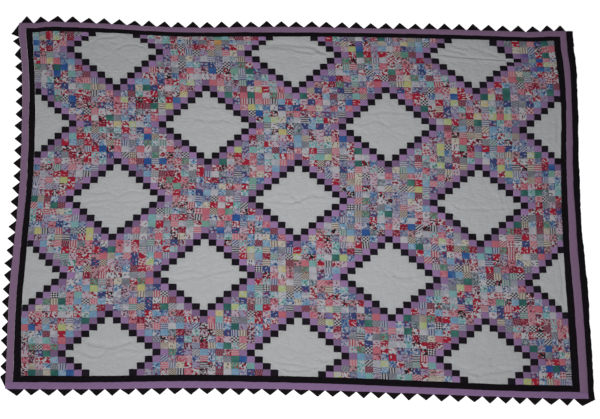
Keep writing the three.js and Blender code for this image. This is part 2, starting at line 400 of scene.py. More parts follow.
def finish_cloth(name, bm, materials, replaces):
    data = bpy.data.meshes.new(name)
    bm.to_mesh(data)
    bm.free()
    for material in materials:
        data.materials.append(material)
    piece = bpy.data.objects.new(name, data)
    bpy.context.scene.collection.objects.link(piece)
    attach(piece, "root")
    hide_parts(replaces)
    cloths.append(piece)


# %% [markdown]
# ## Node groups that several cottons share
#
# Quilting cotton is a plain weave: one thread over, one under. A weave is the same on every
# cloth here, and so are the seams and the stitches, so each is a node group built once and
# placed in each material with its own values. A group puts out masks and heights only, and
# the Principled shader stays in the material.

# %% Helpers for nodes


def feed(tree, socket, value):
    """Links a socket, or sets a plain value."""
    if isinstance(value, bpy.types.NodeSocket):
        tree.links.new(value, socket)
    else:
        socket.default_value = value


def maths(tree, operation, *values):
    node = tree.nodes.new("ShaderNodeMath")
    node.operation = operation
    for socket, value in zip(node.inputs, values):
        feed(tree, socket, value)
    return node.outputs[0]


def smooth_mask(tree, value, low, high):
    """0 below low and 1 above high, with a soft step between."""
    node = tree.nodes.new("ShaderNodeMapRange")
    node.interpolation_type = "SMOOTHSTEP"
    feed(tree, node.inputs["Value"], value)
    node.inputs["From Min"].default_value = low
    node.inputs["From Max"].default_value = high
    return node.outputs["Result"]


def new_group(name, inputs, outputs):
    """A node group with named sockets. Returns its tree, its inputs and a setter."""
    tree = bpy.data.node_groups.new(name, "ShaderNodeTree")
    for label, kind in inputs:
        tree.interface.new_socket(label, in_out="INPUT", socket_type=kind)
    for label in outputs:
        tree.interface.new_socket(label, in_out="OUTPUT", socket_type="NodeSocketFloat")
    given = tree.nodes.new("NodeGroupInput").outputs
    result = tree.nodes.new("NodeGroupOutput").inputs

    def put(label, value):
        feed(tree, result[label], value)

    return tree, given, put


def split(tree, vector):
    node = tree.nodes.new("ShaderNodeSeparateXYZ")
    feed(tree, node.inputs[0], vector)
    return node.outputs["X"], node.outputs["Y"]


def noise_value(tree, vector, scale, detail=2.0, distortion=0.0):
    node = tree.nodes.new("ShaderNodeTexNoise")
    node.noise_dimensions = "2D"
    feed(tree, node.inputs["Vector"], vector)
    node.inputs["Scale"].default_value = scale
    node.inputs["Detail"].default_value = detail
    node.inputs["Distortion"].default_value = distortion
    return node.outputs[0]


# %% Weave, seams and stitches
VECTOR = "NodeSocketVector"
THREADS_PER_METRE = 2300
THREAD_HEIGHT = 0.3
SLUB_SCALE, MOTTLE_SCALE = 420, 55
SHADE_SWING, SHADE_LEAST = 0.09, 0.91
SEAM_REACH = 0.045
STITCHES_PER_DIAGONAL = 14
STITCH_LENGTH = 0.6
THREAD_REACH, CHANNEL_REACH = 0.016, 0.1


def build_weave():
    tree, given, put = new_group("cotton weave", [("Vector", VECTOR)], ["Height", "Shade"])
    x, y = split(tree, given["Vector"])
    turn = THREADS_PER_METRE * math.pi
    over = maths(tree, "SINE", maths(tree, "MULTIPLY", x, turn))
    under = maths(tree, "SINE", maths(tree, "MULTIPLY", y, turn))
    threads = maths(tree, "MULTIPLY", over, under)
    slub = noise_value(tree, given["Vector"], SLUB_SCALE)
    mottle = noise_value(tree, given["Vector"], MOTTLE_SCALE, 3)
    put("Height", maths(tree, "MULTIPLY_ADD", threads, THREAD_HEIGHT, slub))
    uneven = maths(tree, "ADD", slub, mottle)
    put("Shade", maths(tree, "MULTIPLY_ADD", uneven, SHADE_SWING, SHADE_LEAST))
    return tree


def build_seams():
    tree, given, put = new_group("seams between squares", [("Vector", VECTOR)], ["Seam"])
    nearest = [maths(tree, "PINGPONG", part, 0.5) for part in split(tree, given["Vector"])]
    away = maths(tree, "MINIMUM", *nearest)
    put("Seam", maths(tree, "SUBTRACT", 1.0, smooth_mask(tree, away, 0.0, SEAM_REACH)))
    return tree


def build_diagonal_stitches():
    """Running stitches corner to corner, where column and row add up to a whole number."""
    tree, given, put = new_group("diagonal quilting", [("Vector", VECTOR)], ["Channel", "Stitch"])
    u, v = split(tree, given["Vector"])
    off = maths(tree, "PINGPONG", maths(tree, "ADD", u, v), 0.5)
    beside = maths(tree, "MULTIPLY", maths(tree, "SUBTRACT", u, v), STITCHES_PER_DIAGONAL / 2)
    dash = maths(tree, "LESS_THAN", maths(tree, "FRACT", beside), STITCH_LENGTH)
    thread = maths(tree, "LESS_THAN", off, THREAD_REACH)
    put("Channel", maths(tree, "SUBTRACT", 1.0, smooth_mask(tree, off, 0.0, CHANNEL_REACH)))
    put("Stitch", maths(tree, "MULTIPLY", dash, thread))
    return tree


WEAVE = build_weave()
SEAMS = build_seams()
DIAGONALS = build_diagonal_stitches()
print("groups:", [tree.name for tree in bpy.data.node_groups])

# %% [markdown]
# ## Printed patterns
#
# Dress cottons come in a few kinds of print: stripes, ginghams, checks, dots, small flowers,
# large motifs, scattered sprigs and shaded tones. Each kind is a node group that reads the
# print's own coordinates, in repeats of its pattern, and puts out two masks: one for the
# figure and one for its accent. Any colours can then be printed through them. The numbers in a
# group are shares of one repeat, or the level from which a noise counts as figure.

# %% Pattern groups


def half_on(tree, value, share=0.5):
    return maths(tree, "LESS_THAN", maths(tree, "FRACT", value), share)


def pattern_group(name):
    tree, given, put = new_group(name, [("Vector", VECTOR)], ["Figure", "Accent"])
    x, y = split(tree, given["Vector"])
    return tree, given["Vector"], x, y, put


def build_stripes():
    tree, _, x, _, put = pattern_group("stripes")
    put("Figure", half_on(tree, x, 0.44))
    put("Accent", half_on(tree, maths(tree, "ADD", x, 0.36), 0.12))
    return tree


def build_gingham():
    tree, _, x, y, put = pattern_group("gingham")
    both = maths(tree, "ADD", half_on(tree, x), half_on(tree, y))
    put("Figure", maths(tree, "MULTIPLY", both, 0.5))
    put("Accent", 0.0)
    return tree


def build_checks():
    tree, _, x, y, put = pattern_group("checks")
    differ = maths(tree, "SUBTRACT", half_on(tree, x), half_on(tree, y))
    put("Figure", maths(tree, "ABSOLUTE", differ))
    put("Accent", 0.0)
    return tree


def build_dots():
    tree, _, x, y, put = pattern_group("dots")
    shifted = maths(tree, "MULTIPLY_ADD", maths(tree, "FLOOR", x), 0.5, y)
    centred = [maths(tree, "SUBTRACT", maths(tree, "FRACT", part), 0.5) for part in (x, shifted)]
    squares = [maths(tree, "MULTIPLY", part, part) for part in centred]
    radius = maths(tree, "SQRT", maths(tree, "ADD", *squares))
    put("Figure", maths(tree, "LESS_THAN", radius, 0.27))
    put("Accent", maths(tree, "LESS_THAN", radius, 0.1))
    return tree


def scattered_points(tree, vector, looseness):
    """Distance and direction to the nearest of many loosely set points, and its own number."""
    cells = tree.nodes.new("ShaderNodeTexVoronoi")
    cells.voronoi_dimensions = "2D"
    feed(tree, cells.inputs["Vector"], vector)
    cells.inputs["Scale"].default_value = 1.0
    cells.inputs["Randomness"].default_value = looseness
    towards = tree.nodes.new("ShaderNodeVectorMath")
    towards.operation = "SUBTRACT"
    feed(tree, towards.inputs[0], vector)
    feed(tree, towards.inputs[1], cells.outputs["Position"])
    x, y = split(tree, towards.outputs[0])
    return cells.outputs["Distance"], maths(tree, "ARCTAN2", y, x), cells.outputs["Color"]


def build_flowers():
    tree, vector, _, _, put = pattern_group("flowers")
    away, angle, _ = scattered_points(tree, vector, 0.55)
    petals = maths(tree, "COSINE", maths(tree, "MULTIPLY", angle, 5.0))
    rim = maths(tree, "MULTIPLY_ADD", petals, 0.09, 0.31)
    leaves = maths(tree, "GREATER_THAN", noise_value(tree, vector, 2.3, 1, 0.4), 0.6)
    heart = maths(tree, "LESS_THAN", away, 0.11)
    in_flower = maths(tree, "LESS_THAN", away, rim)
    put("Figure", in_flower)
    free = maths(tree, "MULTIPLY", leaves, maths(tree, "SUBTRACT", 1.0, in_flower))
    put("Accent", maths(tree, "MAXIMUM", heart, free))
    return tree


def build_motifs():
    tree, vector, _, _, put = pattern_group("large motifs")
    put("Figure", maths(tree, "GREATER_THAN", noise_value(tree, vector, 1.0, 1, 1.1), 0.52))
    put("Accent", maths(tree, "GREATER_THAN", noise_value(tree, vector, 1.7, 0, 0.6), 0.64))
    return tree


def build_sprigs():
    tree, vector, _, _, put = pattern_group("sprigs")
    away, angle, own = scattered_points(tree, vector, 0.9)
    rim = maths(tree, "MULTIPLY_ADD", maths(tree, "COSINE", maths(tree, "MULTIPLY", angle, 2.0)), 0.13, 0.2)
    number, _ = split(tree, own)
    in_sprig = maths(tree, "LESS_THAN", away, rim)
    put("Figure", in_sprig)
    put("Accent", maths(tree, "MULTIPLY", in_sprig, maths(tree, "GREATER_THAN", number, 0.7)))
    return tree


def build_tones():
    tree, vector, _, _, put = pattern_group("shaded tones")
    put("Figure", smooth_mask(tree, noise_value(tree, vector, 1.0, 2, 0.5), 0.42, 0.6))
    put("Accent", 0.0)
    return tree


def build_plain():
    tree, vector, _, _, put = pattern_group("plain dye")
    put("Figure", smooth_mask(tree, noise_value(tree, vector, 0.6, 2), 0.3, 0.9))
    put("Accent", 0.0)
    return tree


PATTERNS = {
    "plain": build_plain(),
    "tones": build_tones(),
    "stripes": build_stripes(),
    "gingham": build_gingham(),
    "checks": build_checks(),
    "dots": build_dots(),
    "flowers": build_flowers(),
    "motifs": build_motifs(),
    "sprigs": build_sprigs(),
}
print("kinds of print:", ", ".join(PATTERNS))

# %% [markdown]
# ## Dyes
#
# The colours below are those that each cloth shows in this soft light. A dye's own colour
# is lighter than that, because only part of full light reaches it, so one function takes a
# shown colour back to the cloth's own.

# %% Shown colours, and the dye that gives them
LIGHT_ON_CLOTH = 0.57
BRIGHTEST_DYE = 0.95
SHOWN = {
    "white": "a5a3a8",
    "cream": "a8a298",
    "pale grey": "8b8d98",
    "grey": "64666e",
    "tan": "877c72",
    "brown": "4f3a38",
    "black": "17121a",
    "border black": "0f0b10",
    "red": "90142c",
    "deep red": "74142c",
    "maroon": "581a30",
    "rose": "a14f60",
    "salmon": "a8606a",
    "pink": "a67882",
    "pale pink": "a0929e",
    "lavender": "827c96",
    "purple": "56407c",
    "pale blue": "8598a8",
    "sky": "6285a0",
    "periwinkle": "5a6888",
    "blue": "42658c",
    "royal blue": "1d4380",
    "navy": "303a66",
    "aqua": "6f989e",
    "mint": "688c80",
    "green": "3f7064",
    "dark green": "24524f",
    "lime": "98a270",
    "yellow": "a89c68",
    "orange": "a8703a",
    "lilac": "7f6389",
    "diamond white": "a8a9aa",
    "border lilac": "7a5f7b",
}


def dye(name, light=LIGHT_ON_CLOTH):
    """The cloth's own colour, as linear red, green, blue and 1, by the sRGB curve."""
    code = SHOWN[name]
    parts = [int(code[i : i + 2], 16) / 255 for i in (0, 2, 4)]
    linear = [part / 12.92 if part <= 0.04045 else ((part + 0.055) / 1.055) ** 2.4 for part in parts]
    return (*[min(part / light, BRIGHTEST_DYE) for part in linear], 1.0)


# %% [markdown]
# ## The cottons
#
# Each cotton is one Principled material. The printed ones take their three colours from
# attributes that every square carries, so one material serves all cloths of one kind. The
# plain black and lilac squares take their one colour the same way, since each has faded on its
# own. Black cotton drinks most of the light and has hardly any gloss.

# %% Build the materials
WEAVE_BUMP = 0.00006
SEAM_BUMP = 0.0005
# Seams are darkened towards SEAM_SHADOW_GREY: painted shade in the seams' grooves.
SEAM_SHADE, SEAM_SHADOW_GREY = 0.3, (0.02, 0.02, 0.02, 1)
THREAD_SHADE, THREAD_DARK = 0.4, (0.05, 0.045, 0.06, 1)


def place_group(tree, group, vector):
    node = tree.nodes.new("ShaderNodeGroup")
    node.node_tree = group
    feed(tree, node.inputs["Vector"], vector)
    return node.outputs


def mix_colour(tree, amount, first, second, blend="MIX"):
    node = tree.nodes.new("ShaderNodeMix")
    node.data_type = "RGBA"
    node.blend_type = blend
    feed(tree, node.inputs[0], amount)
    feed(tree, node.inputs[6], first)
    feed(tree, node.inputs[7], second)
    return node.outputs[2]


def uv_map(tree, name):
    node = tree.nodes.new("ShaderNodeUVMap")
    node.uv_map = name
    return node.outputs[0]


def attribute(tree, name):
    node = tree.nodes.new("ShaderNodeAttribute")
    node.attribute_name = name
    return node.outputs["Color"]


def new_cotton(name, roughness, gloss, fuzz):
    material = bpy.data.materials.new(name)
    material.use_nodes = True
    surface = material.node_tree.nodes["Principled BSDF"]
    surface.inputs["Roughness"].default_value = roughness
    surface.inputs["Specular IOR Level"].default_value = gloss
    surface.inputs["Sheen Weight"].default_value = fuzz
    surface.inputs["Sheen Roughness"].default_value = 0.6
    return material, material.node_tree, surface


def add_surface(tree, surface, colour, height, distance):
    """Weave and height on any cotton."""
    object_place = tree.nodes.new("ShaderNodeTexCoord").outputs["Object"]
    weave = place_group(tree, WEAVE, object_place)
    shaded = mix_colour(tree, 1.0, colour, weave["Shade"], "MULTIPLY")
    feed(tree, surface.inputs["Base Color"], shaded)
    threads = tree.nodes.new("ShaderNodeBump")
    threads.inputs["Strength"].default_value = 0.5
    threads.inputs["Distance"].default_value = WEAVE_BUMP
    feed(tree, threads.inputs["Height"], weave["Height"])
    relief = tree.nodes.new("ShaderNodeBump")
    relief.inputs["Strength"].default_value = 0.8
    relief.inputs["Distance"].default_value = distance
    feed(tree, relief.inputs["Height"], height)
    feed(tree, relief.inputs["Normal"], threads.outputs[0])
    feed(tree, surface.inputs["Normal"], relief.outputs[0])


def quilted_cotton(name, colour_of, roughness=0.9, gloss=0.25, fuzz=0.06, seams=True):
    """A cotton with seams and diagonal quilting. colour_of gives its colour socket or dye."""
    material, tree, surface = new_cotton(name, roughness, gloss, fuzz)
    grid = uv_map(tree, "grid")
    quilting = place_group(tree, DIAGONALS, grid)
    colour = colour_of(tree)
    low = quilting["Channel"]
    if seams:
        seam = place_group(tree, SEAMS, grid)["Seam"]
        low = maths(tree, "MAXIMUM", low, seam)
        # Painted shade: each seam is darkened a little, for the shadow in its groove.
        colour = mix_colour(tree, maths(tree, "MULTIPLY", seam, SEAM_SHADE), colour, SEAM_SHADOW_GREY)
    thread = maths(tree, "MULTIPLY", quilting["Stitch"], THREAD_SHADE)
    colour = mix_colour(tree, thread, colour, THREAD_DARK)
    height = maths(tree, "SUBTRACT", 1.0, low)
    add_surface(tree, surface, colour, height, SEAM_BUMP)
    return material


def printed_colour(pattern):
    def build(tree):
        masks = place_group(tree, PATTERNS[pattern], uv_map(tree, "print"))
        figure = mix_colour(tree, masks["Figure"], attribute(tree, "ground"), attribute(tree, "figure"))
        return mix_colour(tree, masks["Accent"], figure, attribute(tree, "accent"))

    return build


def plain_colour(name):
    return lambda tree: dye(name)


def ground_colour(tree):
    return attribute(tree, "ground")


PRINTED = [quilted_cotton(f"{kind} cotton", printed_colour(kind)) for kind in PATTERNS]
BLACK = quilted_cotton("black cotton", ground_colour, 0.95, 0.1, 0.02)
LILAC = quilted_cotton("lilac cotton", ground_colour)
BORDER_BLACK = quilted_cotton("black border cotton", plain_colour("border black"), 0.95, 0.1, 0.02, False)
BORDER_LILAC = quilted_cotton("lilac border cotton", plain_colour("border lilac"), seams=False)
NEAR_LILAC = quilted_cotton("near lilac border cotton", plain_colour("lilac"), seams=False)
BACKING = quilted_cotton("white backing", plain_colour("diamond white"), seams=False)
FIELD_MATERIALS = [*PRINTED, BLACK, LILAC, BACKING]
print("materials:", len(bpy.data.materials))

# %% [markdown]
# ## The scrap bag
#
# A postage stamp quilt uses up a scrap bag, and the same cloths turn up again all over it.
# Charting three thousand squares by hand would say no more than that, so the bag is a short
# table, and each square draws its cloth by chance, with a fixed seed. `often` says how much
# of a cloth is in the bag, and `repeat` is its pattern's size in millimetres.

# %% Fill the scrap bag
SCRAPS = [
    # often, kind, repeat, ground, figure, accent
    (120, "motifs", 15, "red", "white", "deep red"),
    (60, "sprigs", 14, "red", "white", "pink"),
    (70, "sprigs", 9, "deep red", "pink", "white"),
    (60, "dots", 6, "maroon", "pink", "pink"),
    (40, "gingham", 11, "white", "red", "red"),
    (60, "stripes", 9, "pink", "salmon", "white"),
    (50, "stripes", 8, "white", "red", "rose"),
    (50, "plain", 30, "salmon", "rose", "rose"),
    (50, "tones", 10, "rose", "pink", "pink"),
    (60, "flowers", 16, "pink", "red", "white"),
    (76, "flowers", 14, "pink", "maroon", "green"),
    (90, "sprigs", 13, "pale pink", "red", "maroon"),
    (60, "motifs", 13, "pink", "rose", "maroon"),
    (100, "motifs", 13, "white", "red", "maroon"),
    (70, "flowers", 16, "white", "red", "black"),
    (70, "sprigs", 13, "white", "black", "red"),
    (60, "tones", 14, "pale grey", "white", "white"),
    (80, "flowers", 15, "pale grey", "periwinkle", "red"),
    (60, "plain", 30, "white", "pale grey", "white"),
    (50, "stripes", 8, "white", "grey", "grey"),
    (60, "stripes", 9, "white", "black", "grey"),
    (50, "stripes", 9, "tan", "cream", "brown"),
    (70, "checks", 12, "white", "black", "black"),
    (34, "checks", 9, "cream", "brown", "brown"),
    (50, "sprigs", 11, "cream", "brown", "tan"),
    (24, "plain", 30, "tan", "cream", "tan"),
    (60, "plain", 30, "grey", "pale grey", "grey"),
    (60, "motifs", 11, "grey", "pale grey", "dark green"),
    (50, "dots", 9, "grey", "pale grey", "white"),
    (70, "flowers", 14, "periwinkle", "pale grey", "maroon"),
    (50, "motifs", 13, "periwinkle", "white", "navy"),
    (110, "motifs", 14, "sky", "white", "navy"),
    (50, "tones", 12, "sky", "pale blue", "white"),
    (70, "motifs", 13, "blue", "pale grey", "navy"),
    (90, "sprigs", 14, "navy", "pale grey", "rose"),
    (70, "flowers", 14, "navy", "pale blue", "red"),
    (50, "stripes", 8, "white", "navy", "blue"),
    (40, "stripes", 8, "navy", "white", "white"),
    (36, "plain", 30, "royal blue", "blue", "blue"),
    (50, "plain", 30, "sky", "pale blue", "sky"),
    (80, "motifs", 14, "aqua", "white", "green"),
    (60, "flowers", 14, "aqua", "white", "red"),
    (30, "plain", 30, "aqua", "mint", "aqua"),
    (70, "plain", 30, "dark green", "green", "green"),
    (24, "plain", 30, "mint", "green", "mint"),
    (50, "stripes", 8, "white", "green", "dark green"),
    (40, "flowers", 14, "green", "mint", "red"),
    (34, "motifs", 16, "lime", "white", "lime"),
    (24, "plain", 30, "lime", "yellow", "lime"),
    (14, "tones", 12, "yellow", "cream", "cream"),
    (4, "plain", 30, "orange", "yellow", "orange"),
    (8, "plain", 30, "purple", "lavender", "purple"),
    (60, "flowers", 15, "lavender", "white", "navy"),
    (50, "sprigs", 13, "lavender", "maroon", "red"),
    (70, "motifs", 13, "maroon", "pale pink", "pale grey"),
    (100, "motifs", 12, "black", "white", "red"),
]
TURNED_KINDS = ("stripes", "checks")
TURNS = (0, 0, 90, 90, 45)
KINDS = list(PATTERNS)
BLACK_STEPS = DIAMOND_REACH + 1
LILAC_STEPS = DIAMOND_REACH + 2
FADING = 0.3
ASKEW_DEGREES = 2
PRINT_SHIFT = 40

random.seed(71055)


def faded(name):
    """A plain dye, washed to a shade of its own."""
    share = 1 + random.uniform(-FADING, FADING)
    return (*[part * share for part in dye(name)[:3]], 1.0)


def draw_square(column, row, last):
    """What one square is cut from: its material's number, scrap, turn and shift."""
    steps = steps_from_diamond(column, row)
    scrap = random.choices(SCRAPS, weights=[line[0] for line in SCRAPS])[0]
    while last and scrap == last["scrap"]:
        scrap = random.choices(SCRAPS, weights=[line[0] for line in SCRAPS])[0]
    straight = scrap[1] in TURNED_KINDS
    turn = random.choice(TURNS) + random.gauss(0, ASKEW_DEGREES) if straight else random.uniform(0, 360)
    shift = (random.uniform(0, PRINT_SHIFT), random.uniform(0, PRINT_SHIFT))
    number, dyes = KINDS.index(scrap[1]), [dye(name) for name in scrap[3:]]
    if steps == BLACK_STEPS:
        number, dyes = FIELD_MATERIALS.index(BLACK), [faded("black")] * 3
    if steps == LILAC_STEPS:
        number, dyes = FIELD_MATERIALS.index(LILAC), [faded("lilac")] * 3
    return {"number": number, "scrap": scrap, "dyes": dyes, "turn": math.radians(turn), "shift": shift}


def draw_all():
    squares, last = {}, None
    for row in range(ROWS):
        for column in range(COLUMNS):
            last = draw_square(column, row, last)
            squares[column, row] = last
    return squares


SQUARES = draw_all()
print("squares:", len(SQUARES), "cloths in the bag:", len(SCRAPS))

# %% [markdown]
# ## The patchwork field
#
# Quilters sew postage stamps in strips and join the strips. The field follows that: eleven
# strips of five rows, each one mesh across the whole quilt. Every square keeps three
# coordinates for its finish: its place on the grid, its place on its own print, and a
# separate cell of the bake map, so that each square is baked at an even size.

# %% Make the strips
STRIP_ROWS = 5
BAKE_CELLS = 20
BAKE_EDGE = 0.05
BACK_BAND = 0.09
BACK_SHARE = 0.95
WALL_BAND = 0.004
BAND_LEAN = 0.5


def print_place(square, u, v, column, row):
    """A grid place in the square's own print, in repeats of its pattern."""
    repeat = square["scrap"][2]
    x, y = (u - column - 0.5) * PATCH / repeat, (row + 0.5 - v) * PATCH / repeat
    c, s = math.cos(square["turn"]), math.sin(square["turn"])
    return c * x - s * y + square["shift"][0], s * x + c * y + square["shift"][1]


def bake_place(cell, s, t):
    """A place inside one cell of the bake map."""
    line, place = divmod(cell, BAKE_CELLS)
    inner = 1 - 2 * BAKE_EDGE
    return (place + BAKE_EDGE + inner * s) / BAKE_CELLS, 1 - (line + BAKE_EDGE + inner * t) / BAKE_CELLS


def dress_strip(bm, top, first_row):
    """Gives each face of a strip its material, its colours and its three maps."""
    maps = [bm.loops.layers.uv.new(name) for name in ("grid", "print", "OFBake")]
    colours = [bm.faces.layers.float_color.new(name) for name in ("ground", "figure", "accent")]
    backing = FIELD_MATERIALS.index(BACKING)
    cells = {}
    for face in bm.faces:
        side = face_side(face, top)
        column, row = patch_of(face)
        column, row = min(max(column, 0), COLUMNS - 1), min(max(row, 0), ROWS - 1)
        square = SQUARES[column, row]
        cell = cells.setdefault((column, row), len(cells)) if side == "top" else None
        face.material_index = backing if side == "back" else square["number"]
        for layer, colour in zip(colours, square["dyes"]):
            face[layer] = colour
        for loop in face.loops:
            u, v = loop.vert.co.x, -loop.vert.co.y
            loop[maps[0]].uv = (u, v)
            loop[maps[1]].uv = print_place(square, u, v, column, row)
            if side == "top":
                loop[maps[2]].uv = bake_place(cell, u - column, v - row)
            else:
                share = (v - first_row) / STRIP_ROWS
                wall = WALL_BAND if loop.vert in top else 0.0
                low = BACK_BAND * share * BACK_SHARE if side == "back" else BACK_BAND + wall
                loop[maps[2]].uv = ((u + share * BAND_LEAN) / (COLUMNS + 1), low)


def in_field(column, row):
    return steps_from_diamond(column, row) > DIAMOND_REACH


def add_strip_of_squares(number):
    first_row = number * STRIP_ROWS
    bm = patch_sheet(0, first_row, COLUMNS, STRIP_ROWS, SPREAD, in_field)
    top = thicken(bm)
    dress_strip(bm, top, first_row)
    settle(bm, top, plan, quilted_top, quilted_back)
    rows = range(first_row, first_row + STRIP_ROWS)
    count = sum(in_field(column, row) for row in rows for column in range(COLUMNS))
    name = f"patchwork_rows_{first_row + 1}_to_{first_row + STRIP_ROWS}"
    finish_cloth(name, bm, FIELD_MATERIALS, "patchwork_field")
    return count


counts = [add_strip_of_squares(number) for number in range(ROWS // STRIP_ROWS)]
print("squares in each strip:", counts)
